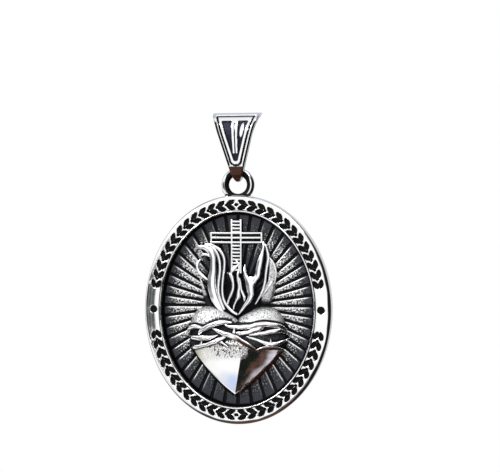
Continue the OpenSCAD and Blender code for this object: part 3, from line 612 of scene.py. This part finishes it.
# The cross: a post and a level beam with raised edges, rungs down the post and a ridge along
# the beam, as if two planks were bound together. It is cast with the plate, behind the flames.
cross_x, cross_y, cross_top, cross_foot, cross_rise = -0.2, 12.9, 16.2, 6.5, 1.1
beam_w, beam_l, edge_w = 1.95, 9.5, 0.3
ridge_w, rung_w, rung_step, cross_worn = 0.32, 0.3, 0.62, 0.06
post_low, beam_low, rung_low = 0.22, 0.2, 0.07
box_faces = ((3, 2, 1, 0), (4, 5, 6, 7), (0, 1, 5, 4), (1, 2, 6, 5), (2, 3, 7, 6), (3, 0, 4, 7))


def worn_boxes(corners, worn, steps, fullness):
    """Boxes of eight corners each, with their edges worn round."""
    mesh = bmesh.new()
    for corner in corners:
        mesh.verts.new(corner)
    mesh.verts.ensure_lookup_table()
    for first in range(0, len(corners), 8):
        for face in box_faces:
            mesh.faces.new([mesh.verts[first + k] for k in face])
    bmesh.ops.bevel(
        mesh, geom=mesh.edges[:], offset=worn, segments=steps, profile=fullness, affect="EDGES")
    mesh.verts.index_update()
    return np.array([v.co for v in mesh.verts]), [[v.index for v in f.verts] for f in mesh.faces]


def bar(x, y, width, height, top):
    """The corners of a square bar round a middle, from under the floor up to its top."""
    x0, x1, y0, y1 = x - width / 2, x + width / 2, y - height / 2, y + height / 2
    return [(a, b, h) for h in (sunk_foot, top) for a, b in ((x0, y0), (x1, y0), (x1, y1), (x0, y1))]


half = beam_w / 2
post_y, post_l = (cross_foot + cross_top) / 2, cross_top - cross_foot
corners = bar(cross_x, post_y, beam_w, post_l, cross_rise - post_low)
corners += bar(cross_x, cross_y, beam_l, beam_w, cross_rise - beam_low)
for way in (-1, 1):
    corners += bar(cross_x + way * (half - edge_w / 2), post_y, edge_w, post_l, cross_rise)
    corners += bar(cross_x, cross_y + way * (half - edge_w / 2), beam_l, edge_w, cross_rise + 0.02)
    corners += bar(cross_x + way * (beam_l - edge_w) / 2, cross_y, edge_w, beam_w - 0.1, cross_rise)
corners += bar(cross_x, cross_y, beam_l - 0.2, ridge_w, cross_rise - 0.02)
for y in np.arange(cross_foot + rung_step, cross_top, rung_step):
    if abs(y - cross_y) > half:
        corners += bar(cross_x, y, beam_w - 0.4, rung_w, cross_rise - rung_low)
x, y, h = np.array(corners).T
points, faces = worn_boxes(on_medal(x, y, floor_t + h), cross_worn, 2, 0.6)
# What lies lower than the edges and rungs is black
cross_h = medal_t / 2 - points[:, 1] - floor_t
cross = steel_piece(
    "cross", points, faces, cast_steel("cross_steel", (0.88, 0.88, 0.89), 0.22, edge=(0.3, 0.75), ragged=0.7),
    sharp=50, recess=rise(cross_rise - 0.08, cross_rise - 0.17, cross_h))

# The crown of thorns: branches wound round the heart, lying on one arch over it, with thorns.
# They stand up the most, so tumbling has worn them bright.
# Each station is [x, y, share of the branch's thickness, height over the arch].
arch_half, knot_size, squareness, stained_branches = 10.0, 0.04, 3.4, (4, 9)
crown_branches = [
    [[-8.9, -4.8, 0.3, -0.2], [-8.8, -4, 0.6, -0.1], [-8.4, -3.3, 0.85, 0], [-7.4, -3.05, 0.85, 0],
        [-6.2, -3.2, 0.4, -0.1]],
    [[-6.75, -4.4, 0.4, -0.1], [-6.3, -3.75, 0.85, 0], [-5.25, -3.15, 1, 0.05], [-4.1, -2.65, 1, 0.1],
        [-2.8, -2.25, 0.95, 0.08], [-1.7, -2.15, 0.7, 0], [-0.6, -2.2, 0.2, -0.15]],
    [[-2, -2.5, 0.15, -0.1], [-1.1, -2.9, 0.5, 0], [0.2, -3, 0.75, 0], [1.6, -2.95, 0.85, 0.02],
        [2.9, -2.85, 0.87, 0.05], [4.2, -2.5, 0.9, 0.08], [5.4, -2.45, 0.95, 0.08], [6.8, -2.6, 0.9, 0],
        [8.1, -2.9, 0.8, -0.05], [8.9, -3.6, 0.6, -0.2]],
    [[0.25, -4, 0.4, -0.05], [1.1, -4.1, 0.75, 0], [2.2, -4, 0.85, 0], [3.3, -3.6, 0.85, 0],
        [4.3, -3.25, 0.85, 0.02], [5.2, -2.85, 0.4, -0.05]],
    [[-4.2, -3.3, 0.2, -0.1], [-3.15, -3.7, 0.7, 0], [-2.05, -4.15, 0.95, 0.08], [-0.85, -4.5, 1.1, 0.12],
        [0.35, -4.95, 1.05, 0.12], [1.5, -5.65, 0.95, 0.08], [2.6, -6.25, 0.88, 0.02],
        [3.6, -6.95, 0.6, -0.15]],
    [[-8.65, -4.95, 0.4, -0.15], [-7.75, -5.05, 0.9, 0], [-6.4, -5.05, 1.05, 0.05], [-5.05, -5, 0.95, 0.05],
        [-4.1, -4.8, 0.6, 0], [-3.15, -4.5, 0.15, -0.1]],
    [[-8.4, -7.1, 0.25, -0.25], [-7.3, -6.75, 0.9, -0.05], [-6, -6.5, 0.85, 0], [-4.7, -6.1, 0.9, 0.03],
        [-3.6, -5.7, 1, 0.06], [-2.6, -5.2, 0.9, 0.05], [-1.5, -4.7, 0.35, -0.1]],
    [[2.1, -4.7, 0.2, -0.1], [3.2, -5, 0.45, 0], [4.3, -5.4, 0.55, 0.02], [5.4, -5.8, 0.7, 0.05],
        [6.5, -6.05, 0.9, 0.08], [7.6, -5.9, 0.85, 0.02], [8.6, -5.5, 0.6, -0.1], [9.6, -5, 0.1, -0.3]],
    [[2.5, -4.4, 0.3, -0.15], [4, -4.2, 0.6, -0.1], [5.4, -4, 0.8, -0.02], [6.6, -3.75, 0.9, 0.02],
        [7.8, -3.65, 0.85, 0], [8.8, -3.9, 0.6, -0.15], [9.4, -4.5, 0.3, -0.4]],
    [[3.6, -7.2, 0.3, -0.2], [4.8, -6.8, 0.7, -0.05], [6.1, -6.6, 0.8, 0], [7.3, -6.7, 0.7, -0.05],
        [8.5, -7, 0.3, -0.3]]]
crown_thorns = [
    [[-0.1, -4, 0.8, 0.1], [0, -3, 0.1, 0.3]],
    [[-6.3, -6.4, 0.8, 0], [-6.1, -5.5, 0.1, 0.25]],
    [[-2.8, -5.5, 0.7, 0], [-1.2, -6.6, 0.1, 0.1]],
    [[6.4, -6, 0.8, 0], [6.3, -5, 0.1, 0.3]]]


def branch(stations, phase, fine=9, sides=18, stained=False):
    """A branch as a loft, with how black and how brown each of its points is."""
    s = curve(stations, fine)
    arch = arch_rise * np.sqrt(np.maximum(1 - (s[:, 0] / arch_half) ** 2, 0.02))
    line = np.stack([s[:, 0], s[:, 1], arch + s[:, 3]], -1)
    way = headings(line)
    left = np.cross([0, 0, 1], way)
    left /= np.linalg.norm(left, axis=1, keepdims=True)
    up = np.cross(way, left)
    turn = (np.arange(sides) * 2 * math.pi / sides)[None, :]
    powers = np.abs(np.cos(turn)) ** squareness + np.abs(np.sin(turn)) ** squareness
    knots = 1 + knot_size * np.sin(np.arange(len(s))[:, None] * 0.55 + phase) * np.sin(2 * turn)
    thick = np.maximum(s[:, 2:3], 0.08) * branch_d * 0.99
    r = (thick / 2 * knots * powers ** (-1 / squareness))[..., None]
    sideways, upwards = np.cos(turn)[..., None] * left[:, None], np.sin(turn)[..., None] * up[:, None]
    ring = line[:, None] + r * (sideways + upwards)
    dark = rise(0.25, -0.2, np.sin(turn)) + 0 * r[..., 0]
    # Painted brown shade on the lower side of the chosen branches
    stain = stained * rise(0.75, 0.2, np.cos(turn)) * rise(-0.5, 0.8, line[:, :1])
    points = on_medal(ring[..., 0], ring[..., 1], floor_t + ring[..., 2])
    return (points, len(s), sides, dark.ravel()), stain.ravel()


twigs = [branch(b, k * 1.7, stained=k in stained_branches) for k, b in enumerate(crown_branches)]
twigs += [branch(t, k * 2.3, 12, 12) for k, t in enumerate(crown_thorns)]
points, faces, shade = joined([loft for loft, stain in twigs])
crown = steel_piece(
    "thorn_crown", points, faces, cast_steel("thorn_steel", (0.94, 0.94, 0.95), 0.12),
    sharp=60, recess=shade, stain=np.concatenate([stain for loft, stain in twigs]))

# The loop: a round ring cast in one with the medal, standing on a low flat saddle at its top.
# Its inner side stays black, and towards the top of the hole the black reaches further round as painted
# shade. The bail hangs in it.
loop_r, wire_r, loop_z = 2.325, 0.7, -9.275
loop_rows, loop_columns = 96, 28
saddle_low, saddle_high = medal_z + medal_h / 2 - 0.7, medal_z + medal_h / 2 + 0.18
saddle_y, saddle_low_x, saddle_high_x, saddle_worn = 0.86, 2.35, 2.2, 0.14
square = ((-1, -1), (1, -1), (1, 1), (-1, 1))


def closed_faces(rows, columns):
    """The faces of rings that close on themselves both ways."""
    return [[v % (rows * columns) for v in face[::-1]] for face in ring_faces(rows + 1, columns)]


around = np.arange(loop_rows)[:, None] * 2 * math.pi / loop_rows
tube = np.arange(loop_columns)[None, :] * 2 * math.pi / loop_columns
from_middle = loop_r + wire_r * np.cos(tube)
loop_points = np.stack(np.broadcast_arrays(
    from_middle * np.cos(around), -wire_r * np.sin(tube), loop_z + from_middle * np.sin(around)), -1)
# Painted shade: the black of the inner side reaches further round at the top of the loop
upper = 0.45 * rise(0.25, 0.8, np.sin(around))
inner_side = rise(0.45, -0.35, np.cos(tube) - upper)
low_part = rise(-8.9, -11, loop_points[..., 2])
steel_piece(
    "loop", loop_points.reshape(-1, 3), closed_faces(loop_rows, loop_columns),
    cast_steel("loop_steel", (0.9, 0.9, 0.91), 0.08, edge=(0.3, 0.6), ragged=0.1),
    recess=np.maximum(inner_side, 0.3 * low_part))
corners = [(x * wide, y * saddle_y, z) for wide, z in
           ((saddle_low_x, saddle_low), (saddle_high_x, saddle_high)) for x, y in square]
points, faces = worn_boxes(corners, saddle_worn, 3, 0.5)
# The saddle is mostly black: oxide, and painted shadow at the foot of the ring
steel_piece(
    "loop_saddle", points, faces, cast_steel("saddle_steel", (0.9, 0.9, 0.91), 0.1), recess=0.75)

# The bail: a closed strap of cast steel with a wide tunnel above and a tight bend below.
# Its front has two raised borders, a groove between them, and a sunk panel with a stem.
tunnel_r, strap_t, bend_r, bend_t, bail_drop = 2.9, 0.75, 1.2, 0.6, 6.95
bail_w, waist_w = 8.9, 6.4
panel_depth, border_w, border_gap, stem_w = 0.38, 0.58, 0.33, 1.42
outer_round, inner_round, loop_clear = 0.2, 0.07, 0.16
back_narrow, back_start, side_clear = 0.41, 0.3, 0.02
bail_top = tunnel_r + strap_t
bail_foot = -bail_drop - bend_r - bend_t
neck_z = -bail_drop - bend_r / 2
neck_half = math.sqrt((loop_r - wire_r) ** 2 - (loop_r - bend_r) ** 2) - loop_clear
taper = (waist_w / 2 - neck_half) / -neck_z
flare = (bail_w - waist_w) / 2 - taper * bail_top
panel_top, panel_low = bail_top - 1.75, -4.7
stem_foot = panel_low + 0.8
groove_top, groove_in_top, groove_low = bail_top - 0.5, bail_top - 0.9, panel_low - 0.2


def bail_half(z):
    """Half of the bail's width, as the front shows it."""
    z = np.asarray(z, float)
    wide = waist_w / 2 + taper * z + flare * (np.maximum(z - 1, 0) / (bail_top - 1)) ** 2
    low = np.interp(z, [bail_foot, (neck_z + bail_foot) / 2 + 0.1, neck_z],
        [0.4 * neck_half, 0.78 * neck_half, neck_half])
    return np.where(z < neck_z, low, wide)


def strap_half(spots):
    """Half of the strap's width at points of its side view, narrower towards the back."""
    y, z = spots[:, 0], spots[:, 1]
    limit = waist_w / 2 + side_clear + taper * z - back_narrow * (y - back_start) * math.hypot(1, taper)
    return np.where(y > back_start, np.minimum(bail_half(z), limit), bail_half(z))


def arc(r, angles, z=0.0):
    return np.stack([r * np.cos(angles), z + r * np.sin(angles)], -1)


def strap_line(top_r, low_r):
    """The strap's side view as [y, z], from its top down the front, round and up the back."""
    lean = math.asin((top_r - low_r) / bail_drop)
    top = arc(top_r, np.concatenate([np.linspace(math.pi * 0.5, math.pi * 0.72, 12)[:-1],
        np.linspace(math.pi * 0.72, math.pi + lean, 62)]))
    low = arc(low_r, np.concatenate([np.linspace(math.pi + lean, math.pi * 1.5, 16),
        np.linspace(math.pi * 1.5, 2 * math.pi - lean, 16)[1:]]), -bail_drop)
    front = top[-1] + (low[0] - top[-1]) * np.linspace(0, 1, 82)[1:-1, None]
    back_top = arc(top_r, np.linspace(-lean, math.pi * 0.5, 22)[:-1])
    back = low[-1] + (back_top[0] - low[-1]) * np.linspace(0, 1, 14)[1:-1, None]
    return np.vstack([top, front, low, back, back_top])


def shield(x, z, inset, top_z, low_z):
    """Distance outside a shield that follows the front's outline, with a rounded foot."""
    r = bail_half(low_z) - inset
    upper = np.maximum(np.abs(x) - (bail_half(z) - inset), z - top_z)
    return np.where(z < low_z, np.hypot(x, z - low_z) - r, upper)


outer = strap_line(bail_top, bend_r + bend_t)
inner = strap_line(tunnel_r, bend_r)
facing = outer - inner
facing /= np.linalg.norm(facing, axis=1, keepdims=True)
front_columns = 131
half_w = strap_half(outer)[:, None]
face_x = (half_w - outer_round) * np.linspace(-1, 1, front_columns)[None, :]
face_z = np.repeat(outer[:, 1:], front_columns, axis=1)
in_front = outer[:, :1] < 0
panel_edge = shield(face_x, face_z, 2 * border_w + border_gap, panel_top, panel_low)
stem_half = stem_w * (0.36 + 0.14 * np.clip((face_z - panel_low) / (panel_top - panel_low), 0, 1))
stem_edge = np.maximum(np.abs(face_x) - stem_half, stem_foot - face_z)
sunk = rise(0.14, 0.01, np.maximum(panel_edge, -stem_edge))
groove_edge = np.maximum(shield(face_x, face_z, border_w, groove_top, groove_low),
    -shield(face_x, face_z, border_w + border_gap, groove_in_top, groove_low))
groove = rise(0.04, -0.11, groove_edge)
stem_line = (rise(0.11, 0.03, np.abs(face_x)) * rise(stem_foot - 0.1, stem_foot + 0.15, face_z)
    * rise(panel_top - 0.15, panel_top - 0.35, face_z))
# A black line fades out along the front's outer edges, thicker on the left
outer_line = (0.8 * rise(half_w - 0.38, half_w - 0.26, np.abs(face_x) + 0.12 * (face_x < 0))
    * rise(-6.2, -5.7, face_z) * rise(2.6, 1.2, face_z))
# The blackening is rubbed off one long spot at the right of the stem
bare_spot = rise(1.0, 0.75, np.hypot((face_x - 1.2 - 0.15 * face_z) / 0.4, (face_z - 0.35) / 1.75))
front_dark = np.maximum.reduce([sunk * (1 - bare_spot), groove, 0.85 * stem_line, outer_line]) * in_front
# The bend at the bail's foot gets painted brown shade
foot_shade = rise(-5.95, -6.15, face_z) * in_front
sink = panel_depth * np.maximum.reduce([sunk, groove * 0.9, 0.6 * stem_line]) * in_front
front_face = np.stack([face_x, outer[:, :1] - facing[:, :1] * sink, face_z - facing[:, 1:] * sink], -1)
inner_x = (strap_half(inner)[:, None] - inner_round) * np.linspace(1, -1, 17)[None, :]
inner_face = np.stack(np.broadcast_arrays(inner_x, inner[:, :1], inner[:, 1:]), -1)


def strap_edge(way):
    """The rounded edge between the outer and inner faces, on the right or on the left."""
    from_outer = [(outer - facing * depth, strap_half(outer) - narrow)
                  for narrow, depth in ((0.11, 0.03), (0.04, 0.1), (0.0, outer_round))]
    middle = [((outer + inner) / 2, (strap_half(outer) + strap_half(inner)) / 2)]
    from_inner = [(inner + facing * depth, strap_half(inner) - narrow)
                  for narrow, depth in ((0.0, inner_round), (0.02, 0.02))]
    rows = [np.stack([way * width, spot[:, 0], spot[:, 1]], -1)
            for spot, width in from_outer + middle + from_inner]
    return np.stack(rows[::way], 1)


strap = np.concatenate([front_face, strap_edge(1), inner_face, strap_edge(-1)], axis=1)
edge_columns = 3
strap_dark, strap_rough, strap_shade = np.zeros((3, *strap.shape[:2]))
strap_dark[:, :front_columns] = front_dark
strap_rough[:, :front_columns] = sunk * (1 - bare_spot) * in_front
strap_shade[:, :front_columns] = foot_shade
edge_dark = 0.7 * in_front * rise(-6.4, -5.9, outer[:, 1:]) * rise(2.8, 1.6, outer[:, 1:])
for side in (slice(front_columns, front_columns + edge_columns), slice(-edge_columns, None)):
    strap_dark[:, side] = edge_dark
    strap_shade[:, side] = foot_shade[:, :1]
steel_piece(
    "bail_strap", strap.reshape(-1, 3), closed_faces(*strap.shape[:2]),
    cast_steel("bail_polish", (0.9, 0.9, 0.91), 0.08, dark=(0.008, 0.009, 0.014), edge=(0.25, 0.6),
        ragged=0.15),
    body="bail", sharp=50, recess=strap_dark, matte=strap_rough, stain=strap_shade)

# Blackening and polish: the whole medal is blackened, then tumbled and buffed, so that black
# stays where the relief lies lower than what is round it. The same darkening is also painted
# shade beside and under raised parts, such as round the flames and where branches cross.
cell = 0.12
map_x = np.arange(-17.4, 17.41, cell)
map_y = np.arange(-21, 21.01, cell)
all_points, all_faces, first = [], [], 0
for piece in (dish, ground, heart, smooth_flames, rough_flames, cross, crown):
    mesh = piece.data
    all_points += [v.co.copy() for v in mesh.vertices]
    all_faces += [[first + k for k in p.vertices] for p in mesh.polygons if len(p.vertices) < 50]
    first += len(mesh.vertices)
relief = BVHTree.FromPolygons(all_points, all_faces)
height_map = np.full((len(map_y), len(map_x)), medal_t)
start_y, backwards = -0.02, Vector((0, 1, 0))
for row, y in enumerate(map_y):
    for column, x in enumerate(map_x):
        start = Vector((x / 1000, start_y, (medal_z + y) / 1000))
        hit = relief.ray_cast(start, backwards)[0]
        if hit is not None:
            height_map[row, column] = medal_t / 2 - hit.y * 1000


def blurred(field, reach_mm):
    pad = int(4 * reach_mm / cell)
    wide = np.pad(field, pad, mode="edge")
    fy = np.fft.fftfreq(wide.shape[0])[:, None]
    fx = np.fft.fftfreq(wide.shape[1])[None, :]
    spread = np.exp(-2 * (math.pi * reach_mm / cell) ** 2 * (fx ** 2 + fy ** 2))
    return np.real(np.fft.ifft2(np.fft.fft2(wide) * spread))[pad:-pad, pad:-pad]


def sampled(field, x, y):
    gx = np.clip((x - map_x[0]) / cell, 0, len(map_x) - 1.001)
    gy = np.clip((y - map_y[0]) / cell, 0, len(map_y) - 1.001)
    ix, iy = gx.astype(int), gy.astype(int)
    tx, ty = gx - ix, gy - iy
    return ((field[iy, ix] * (1 - tx) + field[iy, ix + 1] * tx) * (1 - ty)
            + (field[iy + 1, ix] * (1 - tx) + field[iy + 1, ix + 1] * tx) * ty)


near, wide = blurred(height_map, 0.32), blurred(height_map, 0.9)
for piece, close, broad, slack in (
        (ground, 2.8, 1.0, 0.1), (heart, 5, 0.3, 0.0), (smooth_flames, 0.6, 0, 0.5),
        (rough_flames, 1.2, 0.2, 0.1), (cross, 0.8, 0, 0.25), (crown, 1.5, 0, 0.25)):
    places = np.empty(len(piece.data.vertices) * 3, np.float32)
    piece.data.vertices.foreach_get("co", places)
    places = places.reshape(-1, 3) * 1000
    x, y, h = places[:, 0], places[:, 2] - medal_z, medal_t / 2 - places[:, 1]
    low = close * (sampled(near, x, y) - h - slack) + broad * (sampled(wide, x, y) - h - slack)
    if piece is heart:
        low *= rise(-0.6, 0.0, y - np.interp(x, [-9, 0, 3.5, 9], [-7.4, -4.9, -6.8, -6.8]))
    mask = piece.data.attributes["recess"].data
    old = np.empty(len(mask), np.float32)
    mask.foreach_get("value", old)
    mask.foreach_set("value", np.clip(np.maximum(low, old), 0, 1).astype(np.float32))

# The studio: a white room with a dark side to the right and below, a plain pale floor, and
# two soft lights. What the camera sees straight is white, as a sweep of paper is.
floor_z, floor_half = -0.13, 0.3
floor_corners = [(x * floor_half, y * floor_half, floor_z) for x, y in square]
floor_mesh = bpy.data.meshes.new("floor")
floor_mesh.from_pydata(floor_corners, [], [(0, 1, 2, 3)])
floor = in_scene("floor", floor_mesh)
floor.visible_glossy = False
paper = bpy.data.materials.new("paper")
paper.use_nodes = True
paper_shader = paper.node_tree.nodes["Principled BSDF"]
paper_shader.inputs["Base Color"].default_value = (0.9, 0.9, 0.9, 1)
paper_shader.inputs["Roughness"].default_value = 0.9
floor_mesh.materials.append(paper)

world = bpy.data.worlds.new("studio")
bpy.context.scene.world = world
world.use_nodes = True
tree = world.node_tree
direction = add(tree, "ShaderNodeTexCoord").outputs["Generated"]


def room_patch(base, side, up, reach_deg, soft_deg, colour):
    """A soft round patch of the room, in degrees to the right of straight ahead and up."""
    a, e = math.radians(side), math.radians(up)
    dot = add(tree, "ShaderNodeVectorMath", operation="DOT_PRODUCT")
    feed(tree, dot.inputs[0], direction)
    dot.inputs[1].default_value = (math.sin(a) * math.cos(e), -math.cos(a) * math.cos(e), math.sin(e))
    outside = math.cos(math.radians(min(reach_deg + soft_deg, 179)))
    inside = math.cos(math.radians(max(reach_deg - soft_deg, 0)))
    return tinted(tree, ranged(tree, dot.outputs["Value"], outside, inside), base, colour)


# Each patch is side, up, reach and softness in degrees, and its colour
room = (0.06, 0.06, 0.062)
for patch in (
        # White above, to the left and in front, and a greyer light from behind
        (-5, 60, 42, 12, (1.0, 1.0, 1.0)),
        (-75, 5, 45, 14, (1.05, 1.05, 1.05)),
        (-12, 6, 46, 12, (1.12, 1.12, 1.12)),
        (175, 20, 48, 26, (0.66, 0.66, 0.68)),
        (175, 58, 26, 12, (0.55, 0.62, 0.72)),
        # A brown table below, and a dark side to the right
        (30, -64, 36, 10, (0.1, 0.055, 0.042)),
        (140, -50, 24, 12, (0.09, 0.055, 0.042)),
        (90, -15, 50, 11, (0.012, 0.012, 0.012)),
        # What the heart's right facet shows: black, with brown streaks and a pale strip beside it
        (14, -30, 13, 3, (0.01, 0.012, 0.01)),
        (17.5, -25.5, 1.2, 1, (0.1, 0.042, 0.028)),
        (18, -28, 1.3, 1.1, (0.14, 0.06, 0.04)),
        (17.5, -30.5, 1.3, 1.1, (0.14, 0.06, 0.04)),
        (16, -33.5, 1.2, 1, (0.1, 0.042, 0.028)),
        (26, -23, 3.2, 1.5, (0.6, 0.58, 0.62)),
        (25, -28, 3, 1.5, (0.8, 0.76, 0.82)),
        (24, -33, 2.8, 1.5, (0.8, 0.76, 0.82)),
        (23, -37, 2.7, 1.5, (0.7, 0.62, 0.66)),
        (21, -41, 2.8, 1.5, (0.5, 0.4, 0.4)),
        # Grey-green things low on the left, which darken the left of the rim and the bail
        (-41, -17, 5, 4, (0.5, 0.5, 0.4)),
        (-27, -2, 7, 4, (0.085, 0.095, 0.09)),
        (-43, -1, 9, 4, (0.07, 0.08, 0.075)),
        (-60, 0, 10, 4, (0.07, 0.08, 0.075)),
        (-75, 0, 10, 4, (0.1, 0.11, 0.105)),
        # A blue and a pink tint in the heart's left facet
        (-29, -31, 3.5, 3, (0.62, 0.74, 1.0)),
        (-22, -26, 2, 1.5, (0.9, 0.72, 0.65))):
    room = room_patch(room, *patch)
seen = add(tree, "ShaderNodeLightPath").outputs["Is Camera Ray"]
feed(tree, tree.nodes["Background"].inputs["Color"], tinted(tree, seen, room, (1, 1, 1)))

light_aim = Vector((0, 0, -0.03))
for name, place, size, power in (
        ("key", (-0.35, -0.45, 0.35), 0.3, 2.5), ("fill", (0.3, -0.3, 0.45), 0.25, 0.8)):
    light_data = bpy.data.lights.new(name, "AREA")
    light_data.size = size
    light_data.energy = power
    light = in_scene(name, light_data)
    light.location = place
    light.rotation_euler = (light_aim - Vector(place)).to_track_quat("-Z", "Y").to_euler()
